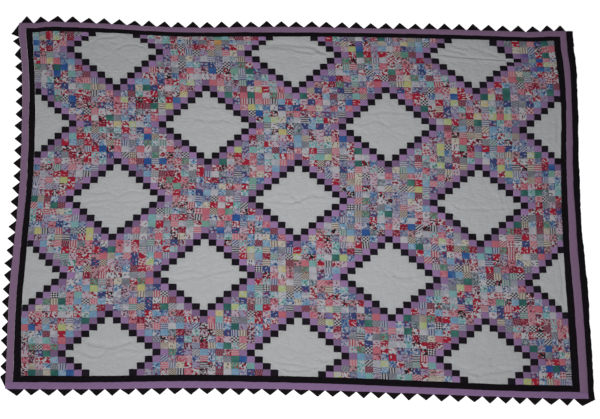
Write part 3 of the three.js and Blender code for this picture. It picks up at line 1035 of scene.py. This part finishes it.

# %% [markdown]
# ## The white diamonds
#
# Each diamond is pieced of plain white squares and quilted with four leaves that meet at its
# middle. White cloth shows every crease, so the main ones are listed one by one: soft troughs
# with a ridge on their near side, in squares from the diamond's middle. They could come from
# a cloth simulation, but these are creases of folding and of the quilting's pull, and a
# simulation would put them elsewhere. Each line of the table gives how deep a crease is, as a
# share, and the places that it runs through, right of the middle and towards the viewer.

# %% Leaves and creases
LEAF_MIDDLE = 2.35
LEAF_HALF_LENGTH = 2.3
LEAF_HALF_WIDTH = 1.25
LEAF_CHANNEL = 0.07
LEAF_DEPTH = 0.4
ECHO_DEPTH = 0.45
WRINKLES = ((2.1, 3.3, 0.5), (1.3, 4.9, 0.45), (3.7, 6.1, 0.34), (6.3, 2.9, 0.3))
WHITE_BASE = 3.55
WHITE_SWELL = 0.85
WHITE_EASE = 0.5
WHITE_LUMP, WHITE_LUMP_SIZE = (0.6, 0.9), 1.3
WHITE_SEAM = 0.12
ECHO_WIDTH = 0.06
RIM_OUT, RIM_WIDTH, RIM_DROP = 0.3, 0.9, 0.7
CREASES = {
    "white_diamond_3_2": [
        (1.1, [(-2.6, -0.9), (-1.4, -0.92)]),
        (1.2, [(-3.1, -0.1), (-2.0, -0.24), (-0.9, -0.27)]),
        (2.0, [(-3.7, 0.3), (-2.3, 0.34), (-0.9, 0.42), (0.15, 0.23)]),
        (2.3, [(0.15, 0.23), (0.75, -0.22), (1.5, -0.63), (1.95, -0.87), (2.9, -0.6)]),
        (1.0, [(-0.75, -0.6), (0.15, 0.2)]),
        (1.1, [(-2.2, 0.76), (-0.9, 0.7)]),
        (1.0, [(1.5, 0.33), (4.1, 0.4)]),
        (0.7, [(2.5, 0.95), (3.7, 1.02)]),
        (0.7, [(1.3, -3.3), (1.28, -1.5)]),
    ],
    "white_diamond_2_2": [
        (1.6, [(-1.7, -3.07), (-0.6, -3.13), (0.1, -2.82), (0.55, -2.77)]),
        (1.5, [(0.8, -3.0), (2.2, -2.8)]),
        (0.7, [(-0.95, -3.5), (0.5, -3.46)]),
        (1.3, [(-2.1, 0.05), (-1.76, -0.75), (-1.35, -0.9), (-0.9, -0.78), (0.6, -0.77)]),
        (1.7, [(0.6, -0.45), (1.6, -0.64), (2.1, -0.83), (2.6, -0.58)]),
        (0.7, [(-0.7, -1.85), (0.7, -1.55)]),
        (0.9, [(-0.4, 1.9), (0.6, 2.15)]),
        (0.7, [(0.8, 3.0), (1.6, 2.98), (2.2, 2.3)]),
    ],
    "white_diamond_1_3": [
        (2.7, [(-4.4, -0.3), (-1.9, -0.1), (0.4, -0.05), (2.6, -0.15), (4.6, 0)]),
        (1.6, [(-2.7, -2.2), (-1.7, -1.9), (-0.7, -1.8)]),
        (1.6, [(0.1, -2.0), (2.0, -1.5), (3.3, -1.0)]),
        (1.4, [(-3.8, -1.5), (-2.4, -1.2), (-1.0, -0.8)]),
        (1.1, [(1.9, -1.0), (3.6, -0.7)]),
        (0.9, [(-1.7, 1.0), (-0.4, 1.2), (0.6, 1.5)]),
        (0.8, [(1.2, 0.7), (2.9, 0.8)]),
    ],
    "white_diamond_1_1": [
        (1.9, [(-3.0, -0.3), (-3.2, -1.0), (-2.6, -1.8), (-1.5, -2.3), (-0.2, -2.5)]),
        (1.3, [(0.3, -0.3), (1.3, -1.0), (3.1, -1.2), (3.7, -0.8)]),
        (1.0, [(-0.6, -1.5), (0.2, -1.2)]),
        (0.8, [(-1.8, -0.8), (-0.7, -0.2)]),
        (1.0, [(1.4, 1.3), (2.5, 2.0)]),
        (0.7, [(-2.6, 0.6), (-1.2, 0.9)]),
    ],
    "white_diamond_1_2": [
        (
            3.6,
            [(-3.5, -1.7), (-2.1, -1.75), (-0.8, -1.7), (0.6, -1.5),
             (1.9, -1.5), (3.0, -1.1), (3.9, -0.4)],
        ),
        (2.8, [(-3.5, -1.1), (-1.9, -1.1), (-0.4, -0.95), (1.1, -0.55), (2.7, -0.3)]),
        (0.9, [(0.2, 2.4), (1.1, 2.1), (1.8, 1.9), (2.5, 2.3)]),
        (0.7, [(-2.6, 0.4), (-1.5, 0.8)]),
    ],
    "white_diamond_2_3": [
        (1.5, [(-3.0, -2.1), (-1.5, -2.2), (-0.2, -2.4), (1.6, -2.2), (3.6, -2.2)]),
        (1.1, [(-3.6, -0.2), (-2.4, -0.7), (-1.4, -0.9), (-0.6, -0.6), (0.2, 0.1)]),
        (0.8, [(0.5, -0.2), (1.8, -0.4), (2.9, -0.1), (3.1, 0.5)]),
        (0.7, [(-0.6, 0.6), (0.6, 1.4)]),
    ],
    "white_diamond_3_1": [
        (1.2, [(-3.4, -0.9), (-2.3, -0.8), (-1.1, -1.1), (0.1, -0.4)]),
        (1.4, [(-4.1, 0.8), (-3.2, 0.3), (-2.4, 0.4), (-0.5, 0.1)]),
        (1.0, [(0.4, -0.1), (1.2, -0.9), (2.4, -1.2), (3.5, -0.9)]),
        (1.1, [(0.5, 0.5), (2.9, 0.4), (4.0, 0.1)]),
        (0.9, [(-2.4, 2.9), (-0.5, 2.6), (1.1, 3.1), (2.2, 2.7)]),
        (0.8, [(0.4, 1.0), (0.5, 2.8)]),
        (0.7, [(-3.3, 1.4), (-1.9, 1.2)]),
    ],
    "white_diamond_3_3": [
        (1.7, [(-3.1, 0.4), (-2.4, 0.75), (-0.7, 0.65), (0.7, 0.7), (2.0, 0.55), (3.7, 0.3)]),
        (0.9, [(-2.8, -0.6), (-1.3, -1.3)]),
        (0.9, [(-1.1, -2.7), (-0.6, -1.3)]),
        (1.1, [(2.7, -2.2), (3.2, -0.9), (3.3, 0.5)]),
        (0.7, [(3.7, -0.9), (3.9, 0.4)]),
    ],
    "white_diamond_4_2": [
        (
            1.8,
            [(-4.0, 0.85), (-2.7, 0.75), (-1.4, 0.55), (-0.3, 0.4),
             (0.3, 0.15), (0.95, -0.15), (2.0, -0.35), (3.3, -0.65)],
        ),
        (1.1, [(-3.6, 0), (-2.4, -0.55), (-1.3, -0.65), (-0.5, -0.15)]),
        (0.8, [(0.7, 0.15), (2.0, 0.5), (3.5, 0.3)]),
        (0.9, [(-0.85, -2.3), (0.05, -2.8)]),
        (0.7, [(-2.3, -1.3), (-1.4, -1.6)]),
    ],
    "white_diamond_4_3": [
        (3.0, [(0.9, -0.25), (1.85, -0.2), (2.8, -0.2)]),
        (0.9, [(0.6, 0.3), (2.0, 0.5), (3.2, 0.4)]),
        (0.9, [(-0.55, -1.5), (0, -1.0)]),
        (0.8, [(-0.4, 2.3), (0.65, 2.2)]),
        (0.7, [(-3.1, -0.9), (-1.4, -1.0)]),
    ],
    "white_diamond_5_1": [
        (
            3.3,
            [(-2.8, -1.8), (-1.9, -1.35), (-0.85, -1.2), (-0.2, -0.9),
             (0.75, -1.0), (1.8, -1.4), (2.9, -1.8)],
        ),
        (2.2, [(-3.5, -0.1), (-2.4, 0.4), (-1.4, 0.5), (-0.45, -0.25)]),
        (1.8, [(0.5, 0), (2.1, -0.7), (3.9, -0.1)]),
        (1.0, [(0.75, 0.5), (2.1, 0.9), (3.5, 0.5)]),
        (1.0, [(0.35, 1.0), (0.6, 2.1)]),
        (0.9, [(-0.2, 0.85), (-1.1, 2.1)]),
        (1.3, [(3.0, -1.5), (4.2, -0.4)]),
    ],
    "white_diamond_5_2": [
        (1.0, [(-2.6, 0), (-1.5, 0.6), (-0.7, 0.75), (-0.05, 0.4)]),
        (1.9, [(-2.3, 1.4), (-0.7, 1.5), (0.9, 1.85), (2.5, 2.0)]),
        (2.3, [(-1.4, 2.5), (-0.05, 2.6), (1.5, 2.3)]),
        (3.6, [(3.1, 0.8), (3.7, 0.75)]),
        (0.9, [(1.1, -0.2), (2.7, -0.5), (3.7, 0)]),
        (0.8, [(-2.7, -0.8), (-1.2, -0.9)]),
        (0.8, [(0.8, -3.0), (1.6, -2.7), (2.2, -1.8)]),
    ],
    "white_diamond_5_3": [
        (3.2, [(-3.0, 1.8), (-2.0, 2.0), (-1.0, 2.1), (0.4, 1.6), (2.0, 1.4), (3.1, 1.2)]),
        (1.3, [(-3.7, 1.1), (-2.3, 1.35), (-1.0, 0.65), (-0.3, 0.15)]),
        (1.1, [(0.65, 0.55), (2.3, 0.3), (3.6, 0.4)]),
        (0.8, [(0.5, -0.5), (2.0, -1.9), (3.0, -2.0)]),
        (1.1, [(-2.0, 2.9), (2.2, 2.7)]),
    ],
    "white_diamond_2_1": [
        (1.1, [(1.1, -2.2), (1.25, -0.3), (1.1, 1.9)]),
        (0.8, [(2.2, -1.2), (2.3, 1.0)]),
    ],
    "white_diamond_4_1": [
        (1.2, [(1.0, -2.0), (1.2, 0.2), (1.05, 2.2)]),
        (0.8, [(1.9, -0.9), (3.6, -0.8)]),
    ],
    "white_diamond_2_4": [
        (1.1, [(-1.1, -1.9), (-1.2, 0.3), (-1.05, 2.1)]),
        (0.8, [(-3.3, 0.5), (-1.8, 0.4)]),
    ],
    "white_diamond_4_4": [
        (1.1, [(-1.2, -2.2), (-1.1, -0.2), (-1.25, 1.8)]),
        (0.8, [(-2.3, -1.1), (-2.2, 0.9)]),
    ],
}
CREASE_DEPTH = 0.72
CREASE_WIDTH = 0.14
LOWEST_TROUGH = 1.7
CREASE_NARROW, CREASE_WIDENS = 0.6, 0.38
RIDGE_AWAY = -0.3
RIDGE_WIDTH = 0.26
RIDGE_SHARE = 0.5


def leaf_edge(along_it, beside_it):
    """How far outside a pointed leaf a place lies, in squares, below 0 inside."""
    share = (abs(along_it) - LEAF_MIDDLE) / LEAF_HALF_LENGTH
    return abs(beside_it) - LEAF_HALF_WIDTH * (1 - share * share)


def from_leaves(right, down):
    return min(leaf_edge(right, down), leaf_edge(down, right))


def from_stretch(place, start, end):
    """Signed distance to a straight stretch, over 0 on its far side."""
    run = end - start
    share = (place - start).dot(run) / run.length_squared
    nearest = start + run * min(max(share, 0), 1)
    away = place - nearest
    side = 1 if run.x * away.y - run.y * away.x < 0 else -1
    return side * away.length


def creased(right, down, creases):
    """Height that the creases add, in millimetres."""
    place, height = Vector((right, down)), 0.0
    for depth, points in creases:
        stretches = [
            from_stretch(place, Vector(a), Vector(b)) for a, b in zip(points, points[1:])
        ]
        away = min(stretches, key=abs) / (CREASE_NARROW + CREASE_WIDENS * depth)
        trough = math.exp(-((away / (CREASE_WIDTH * (2 if away > 0 else 1))) ** 2))
        ridge = math.exp(-(((away - RIDGE_AWAY) / RIDGE_WIDTH) ** 2))
        height += CREASE_DEPTH * depth * (RIDGE_SHARE * ridge - trough)
    return height


def white_top(u, v, column, row, creases):
    right, down = u - column - 0.5, v - row - 0.5
    away = from_leaves(right, down)
    channel = math.exp(-((away / LEAF_CHANNEL) ** 2)) if away > -1 else 0
    full = 1 - math.exp(-((away / WHITE_EASE) ** 2))
    steps = abs(right) + abs(down)
    inner = min(max((DIAMOND_REACH + RIM_OUT - steps) / RIM_WIDTH, 0), 1)
    echo = math.exp(-(((steps - DIAMOND_REACH) / ECHO_WIDTH) ** 2))
    least, lumpy = WHITE_LUMP
    soft = WHITE_BASE + WHITE_SWELL * full * (least + lumpy * lump(u, v, WHITE_LUMP_SIZE))
    soft += inner * (creased(right, down, creases) - LEAF_DEPTH * channel) - ECHO_DEPTH * echo
    for across_it, down_it, height in WRINKLES:
        soft += height * noise.noise(Vector((u * across_it, v * down_it, down_it)))
    return max(soft - WHITE_SEAM * seam_depth(u, v) - RIM_DROP * (1 - inner), LOWEST_TROUGH)


# %% [markdown]
# ## Finish of the white cotton
#
# The leaf quilting shows as four fine stitched outlines. They could be drawn as curves. Here a
# node group works out how far a place is off the edge of a pointed leaf, so the stitches keep
# to the same shape as the relief. The outermost half squares of the white are greyed a little:
# painted shade for the shadow along the diamond's lowered rim.

# %% Finish of the white cotton, with the leaves' stitches
LEAF_STITCHES = 7.0
LEAF_THREAD_REACH, LEAF_CHANNEL_REACH = 0.018, 0.09
EDGE_SOFTNESS = 0.1
WHITE_SEAM_LOW, LEAF_LOW = 0.12, 0.5
# Painted shade: the outermost half squares of the white are greyed, for the shadow along the lowered rim.
EDGE_PAINTED_SHADE, EDGE_SHADE_GREY = 0.08, (0.1, 0.1, 0.11, 1)
WHITE_SEAM_SHADE = 0.04
LEAF_THREAD_SHADE, LEAF_THREAD_GREY = 0.2, (0.25, 0.25, 0.27, 1)
PUCKER_STRETCH = (0.8, 1.3, 1.0)
PUCKER_SCALE, PUCKER_HEIGHT = 110, 2.2


def build_leaf_stitches():
    """Stitches round four pointed leaves, from places in squares off the middle. Edge marks the
    outermost half squares."""
    tree, given, put = new_group("leaf quilting", [("Vector", VECTOR)], ["Channel", "Stitch", "Edge"])
    x, y = [maths(tree, "ABSOLUTE", part) for part in split(tree, given["Vector"])]

    def edge(along_it, beside_it):
        share = maths(tree, "MULTIPLY_ADD", along_it, 1 / LEAF_HALF_LENGTH, -LEAF_MIDDLE / LEAF_HALF_LENGTH)
        inside = maths(tree, "SUBTRACT", 1.0, maths(tree, "MULTIPLY", share, share))
        return maths(tree, "SUBTRACT", beside_it, maths(tree, "MULTIPLY", inside, LEAF_HALF_WIDTH))

    away = maths(tree, "ABSOLUTE", maths(tree, "MINIMUM", edge(x, y), edge(y, x)))
    sweep = maths(tree, "ADD", x, y)
    low, high = DIAMOND_REACH - EDGE_SOFTNESS, DIAMOND_REACH + EDGE_SOFTNESS
    put("Edge", smooth_mask(tree, sweep, low, high))
    along = maths(tree, "MULTIPLY", sweep, LEAF_STITCHES)
    dash = maths(tree, "LESS_THAN", maths(tree, "FRACT", along), STITCH_LENGTH)
    thread = maths(tree, "LESS_THAN", away, LEAF_THREAD_REACH)
    put("Channel", maths(tree, "SUBTRACT", 1.0, smooth_mask(tree, away, 0.0, LEAF_CHANNEL_REACH)))
    put("Stitch", maths(tree, "MULTIPLY", dash, thread))
    return tree


LEAVES = build_leaf_stitches()


def build_white_cotton():
    material, tree, surface = new_cotton("white diamond cotton", 0.9, 0.25, 0.06)
    leaves = place_group(tree, LEAVES, uv_map(tree, "leaf"))
    seam = place_group(tree, SEAMS, uv_map(tree, "grid"))["Seam"]
    seam_shadow = maths(tree, "MULTIPLY", seam, WHITE_SEAM_SHADE)
    # Painted shade: the outermost half squares and the seams are greyed, for the shadow along the lowered
    # rim and in the seams' grooves.
    shadow = maths(tree, "MULTIPLY_ADD", leaves["Edge"], EDGE_PAINTED_SHADE, seam_shadow)
    colour = mix_colour(tree, shadow, dye("diamond white"), EDGE_SHADE_GREY)
    thread = maths(tree, "MULTIPLY", leaves["Stitch"], LEAF_THREAD_SHADE)
    colour = mix_colour(tree, thread, colour, LEAF_THREAD_GREY)
    leaf_low = maths(tree, "MULTIPLY", leaves["Channel"], LEAF_LOW)
    low = maths(tree, "MULTIPLY_ADD", seam, WHITE_SEAM_LOW, leaf_low)
    stretched = tree.nodes.new("ShaderNodeVectorMath")
    stretched.operation = "MULTIPLY"
    feed(tree, stretched.inputs[0], tree.nodes.new("ShaderNodeTexCoord").outputs["Object"])
    feed(tree, stretched.inputs[1], PUCKER_STRETCH)
    puckers = noise_value(tree, stretched.outputs[0], PUCKER_SCALE, 3)
    height = maths(tree, "SUBTRACT", maths(tree, "MULTIPLY", puckers, PUCKER_HEIGHT), low)
    add_surface(tree, surface, colour, height, SEAM_BUMP)
    return material


WHITE = build_white_cotton()

# %% [markdown]
# ## Sew the diamonds in
#
# A diamond is cut out of bmesh's grid as the field's strips are, but in finer steps, so that
# its creases have points to bend at. Its name and middle come from the count of steps, and
# its creases from the table.

# %% Make the diamonds


def dress_diamond(bm, top, column, row):
    grid = bm.loops.layers.uv.new("grid")
    leaf = bm.loops.layers.uv.new("leaf")
    for face in bm.faces:
        face.material_index = 1 if face_side(face, top) == "back" else 0
        for loop in face.loops:
            u, v = loop.vert.co.x, -loop.vert.co.y
            loop[grid].uv = (u, v)
            loop[leaf].uv = (u - column - 0.5, v - row - 0.5)


def add_diamond(name, column, row):
    reach = DIAMOND_REACH

    def has(u, v):
        return abs(u - column) + abs(v - row) <= reach

    first, last = max(column - reach, 0), min(column + reach, COLUMNS - 1)
    top_row, low_row = max(row - reach, 0), min(row + reach, ROWS - 1)
    columns, rows = last - first + 1, low_row - top_row + 1
    bm = patch_sheet(first, top_row, columns, rows, FINE_SPREAD, has)
    top = thicken(bm)
    dress_diamond(bm, top, column, row)
    creases = CREASES[name]

    def height(u, v):
        return white_top(u, v, column, row, creases)

    settle(bm, top, plan, height, quilted_back)
    finish_cloth(f"{name}_cloth", bm, [WHITE, BACKING], name)


for diamond in DIAMONDS:
    add_diamond(*diamond)
print("white diamonds done")

# %% [markdown]
# ## Borders and the plain strip
#
# A border is one long strip with plain ends: the far and near ones run the whole width and the
# side ones fit between them. Each is bmesh's grid again, laid along its side, and the field's
# quilting lines simply run on over it.

# %% Sizes of the borders
PART_GAP = 0.3
BORDER_ACROSS = (0, 0.05, 0.25, 0.5, 0.75, 0.95, 1)
BORDER_LOW, BORDER_SWELL = 3.2, 0.75
BORDER_SEAM_SHARE, RIM_SHARE = 0.1, 0.15
STRIP_WAVE = 1.6
STRIP_WAVES = ((1.1, 3.7, 1), (2.9, 8.1, 0.5))
BLACK_OUT = {
    "far": (18.3, 18.3),
    "near": (24.5, 24.5),
    "left": (23.8, 20.8, 20, 22.5, 21.8, 20.2, 19.8, 21.2, 20.8, 20.3, 23.4, 25),
    "right": (21.5, 22.8, 18.8, 18, 19, 20.7, 21.3, 21, 22.9, 23.8, 24.2, 23.8),
}
LILAC_OUT = {
    "far": (40.3, 39, 39.5, 42, 39, 41, 42.5),
    "near": (49.5, 49.5, 49.3, 49.3, 48.9, 47, 49),
    "left": (48.6, 42, 42.8, 43.8, 44.2, 43.2, 42.6, 43.8, 44, 43.2, 45.5, 48.7),
    "right": (43.3, 43.4, 37.4, 37.9, 40.3, 41.8, 45.5, 47.2, 49.8, 50.3, 50.6, 49.9),
}
STRIP_OUT = {"right": (67.2, 66.2, 58.9, 58.4, 61.7, 63.4, 64.9, 68.8, 72.8, 71, 71, 69.5)}


def seam_out(table, side, at):
    """How far off the field a seam runs, in millimetres, at a place along its side."""
    length = COLUMNS if side in ("far", "near") else ROWS
    return smooth_through(table[side], min(max(at / length, 0), 1))


def black_edge(side, at):
    return seam_out(BLACK_OUT, side, at)


def lilac_edge(side, at):
    return seam_out(LILAC_OUT, side, at)


def strip_edge(side, at):
    wave = sum(part * noise.noise(Vector((at * pitch, layer, 0))) for pitch, layer, part in STRIP_WAVES)
    return seam_out(STRIP_OUT, side, at) + STRIP_WAVE * wave


def beside(side, at, out):
    """Grid place of a point along a side, out millimetres off the field."""
    off = out / PATCH
    if side in ("far", "near"):
        return at, -off if side == "far" else ROWS + off
    return (-off if side == "left" else COLUMNS + off), at


# %% Make the borders


def add_band(name, side, start, end, inner, outer, material, rim=0.0):
    """A long strip of cloth beside the field, from inner to outer millimetres off it."""
    steps = round((end - start) * len(SPREAD))
    bm = bmesh.new()
    bmesh.ops.create_grid(bm, x_segments=steps, y_segments=len(BORDER_ACROSS) - 1, size=0.5)
    across_map = bm.verts.layers.float.new("across")
    for vert in bm.verts:
        at = start + (end - start) * (vert.co.x + 0.5)
        share = BORDER_ACROSS[round((vert.co.y + 0.5) * (len(BORDER_ACROSS) - 1))]
        out = inner(side, at) + PART_GAP + (outer(side, at) - inner(side, at) - PART_GAP) * share
        u, v = beside(side, at, out)
        vert.co = (u, -v, 0)
        vert[across_map] = share
    top = thicken(bm)
    grid = bm.loops.layers.uv.new("grid")
    for face in bm.faces:
        face.material_index = 1 if face_side(face, top) == "back" else 0
        for loop in face.loops:
            loop[grid].uv = (loop.vert.co.x, -loop.vert.co.y)
    edges = {(vert.co.x, -vert.co.y): vert[across_map] for vert in bm.verts}

    def height(u, v):
        share = edges[u, v]
        seam = max(0, 1 - min(share, 1 - share) / BORDER_SEAM_SHARE)
        hem = rim * max(0, (share - (1 - RIM_SHARE)) / RIM_SHARE)
        full = swelling(u, v) * (1 - LUMP + LUMP * lump(u, v))
        return BORDER_LOW + BORDER_SWELL * full - GROOVE * seam - hem

    settle(bm, top, plan, height, quilted_back)
    middle = (start + end) / 2
    width = (outer(side, middle) - inner(side, middle) - PART_GAP) * MM
    finish_cloth(f"{name}_cloth", bm, [material, BACKING], name)


def add_border(name, inner, outer, materials):
    for side, row in (("far", 0), ("near", ROWS)):
        start = -outer("left", row) / PATCH
        end = COLUMNS + outer("right", row) / PATCH
        add_band(f"{name}_{side}", side, start, end, inner, outer, materials[side])
    for side, column in (("left", 0), ("right", COLUMNS)):
        gap = PART_GAP / PATCH
        start = -inner("far", column) / PATCH + gap
        end = ROWS + inner("near", column) / PATCH - gap
        add_band(f"{name}_{side}", side, start, end, inner, outer, materials[side])


def field_edge(side, at):
    return 0.0


SIDES = ("far", "near", "left", "right")
ALL_BLACK = dict.fromkeys(SIDES, BORDER_BLACK)
LILACS = {**dict.fromkeys(SIDES, BORDER_LILAC), "near": NEAR_LILAC}
add_border("black_border", field_edge, black_edge, ALL_BLACK)
add_border("lilac_border", black_edge, lilac_edge, LILACS)
add_band(
    "black_strip_right",
    "right",
    -lilac_edge("far", COLUMNS) / PATCH,
    ROWS + lilac_edge("near", COLUMNS) / PATCH,
    lilac_edge,
    strip_edge,
    BORDER_BLACK,
    rim=1.2,
)
print("borders done")

# %% [markdown]
# ## Prairie points
#
# A prairie point is a square folded in half and then folded again to a triangle, so four
# layers lie on each other and two folded edges meet at its middle. Each one is made from a
# grid that narrows to the tip, with its folded sides rounded down and a slit along its
# middle. All the points of a side are one piece, as they are sewn in as one row.

# %% Make the points
# Places of the partings between points at equal shares of a row, in squares from the field's
# corner, the row's own two ends, and how many millimetres its tips reach out
POINT_ROWS = [
    {
        "side": "far",
        "count": 37,
        "ends": (-1.75, 72.7),
        "places": (-1.6, 4.95, 11.45, 17.74, 23.74, 29.9, 36.17, 42.45, 48.52, 54.66, 60.66, 66.81, 72.49),
        "reaches": (30, 23.5, 27, 26, 25.5, 27.5, 24.5),
    },
    {
        "side": "near",
        "count": 37,
        "ends": (-1.75, 73.9),
        "places": (-1.04, 5.1, 11.31, 17.4, 23.61, 29.75, 35.88, 42.02, 47.86, 54.12, 60.35, 66.12, 72.83),
        "reaches": (23.5, 23.5, 23, 21.5, 24, 24, 25),
    },
    {
        "side": "left",
        "count": 29,
        "ends": (-1.45, 56.7),
        "places": (-0.21, 6.01, 11.99, 18.25, 24.62, 31.05, 37.14, 43.65, 50.08, 55.7),
        "reaches": (24, 22, 24.5, 23.5, 23, 20, 17.5),
    },
]
POINT_ROOT_HEIGHT = 2.1
POINT_TIP_HEIGHT = 1.1
POINT_ROUNDING = 0.7
POINT_SLIT = 0.45
FOLD_SHARE, SLIT_SHARE = 0.2, 0.04
TIP_ASIDE, TIP_TURN = 1.6, 3.7
REACH_STRAY, REACH_TURN = 1.4, 2.3
POINT_ACROSS = (0.01, 0.06, 0.2, 0.46, 0.5, 0.54, 0.8, 0.94, 0.99)
POINT_OUT = (0, 0.12, 0.4, 0.7, 0.93, 1)
TIP_SHARE = 0.05
WORN_SCALE, WORN_BROWN = 60, 0.06


def point_places(row, number):
    """Start, tip and end of one point along its side, and its reach."""
    count = row["count"]
    first, tip, last = [smooth_through(row["places"], (number + k) / count) for k in (0, 0.5, 1)]
    tip += TIP_ASIDE * math.sin(TIP_TURN * number) / PATCH
    if number == 0:
        first = row["ends"][0]
    if number == count - 1:
        last = row["ends"][1]
    reach = smooth_through(row["reaches"], (number + 0.5) / count)
    return first, tip, last, reach + REACH_STRAY * math.cos(REACH_TURN * number)


def add_point(bm, row, number):
    """Adds one folded point to the row's mesh."""
    side = row["side"]
    first, tip, last, reach = point_places(row, number)
    lines, columns = len(POINT_OUT) - 1, len(POINT_ACROSS) - 1
    made = bmesh.ops.create_grid(bm, x_segments=columns, y_segments=lines, size=0.5)
    faces = {face for vert in made["verts"] for face in vert.link_faces}
    body = bmesh.ops.extrude_face_region(bm, geom=list(faces), use_keep_orig=True)
    top = {part for part in body["geom"] if isinstance(part, bmesh.types.BMVert)}
    for vert in [*made["verts"], *top]:
        share = POINT_ACROSS[round((vert.co.x + 0.5) * columns)]
        out = POINT_OUT[round((vert.co.y + 0.5) * lines)]
        wide = first + (last - first) * share
        at = wide + (tip + (last - first) * (share - 0.5) * TIP_SHARE - wide) * out
        u, v = beside(side, at, lilac_edge(side, at) + PART_GAP + (reach - PART_GAP) * out)
        x, y = plan(u, v)
        height = POINT_ROOT_HEIGHT + (POINT_TIP_HEIGHT - POINT_ROOT_HEIGHT) * out
        folded = max(0, 1 - min(share, 1 - share) / FOLD_SHARE) ** 2
        slit = max(0, 1 - abs(share - 0.5) / SLIT_SHARE)
        height -= POINT_ROUNDING * folded * height / POINT_ROOT_HEIGHT
        height -= POINT_SLIT * slit * (1 - out)
        vert.co = (x * MM, y * MM, (height if vert in top else 0) * MM)


def add_points(row):
    bm = bmesh.new()
    for number in range(row["count"]):
        add_point(bm, row, number)
    bmesh.ops.triangulate(bm, faces=bm.faces[:])
    bmesh.ops.recalc_face_normals(bm, faces=bm.faces[:])
    for face in bm.faces:
        face.smooth = True
    length = (row["places"][-1] - row["places"][0]) * PATCH * MM
    height = sum(row["reaches"]) / len(row["reaches"]) * MM
    name, flat = f"prairie_points_{row['side']}", (length, height)
    finish_cloth(f"{name}_cloth", bm, [POINT_BLACK], name)


def build_point_cotton():
    material, tree, surface = new_cotton("folded black cotton", 0.95, 0.1, 0.02)
    place = tree.nodes.new("ShaderNodeTexCoord").outputs["Object"]
    worn = noise_value(tree, place, WORN_SCALE, 2)
    amount = maths(tree, "MULTIPLY", worn, WORN_BROWN)
    colour = mix_colour(tree, amount, dye("border black"), dye("brown"))
    add_surface(tree, surface, colour, worn, SEAM_BUMP / 2)
    return material


POINT_BLACK = build_point_cotton()
for point_row in POINT_ROWS:
    add_points(point_row)

triangles = {piece.name: sum(len(face.vertices) - 2 for face in piece.data.polygons) for piece in cloths}
print("pieces:", len(cloths), "triangles:", sum(triangles.values()), "most:", max(triangles.values()))
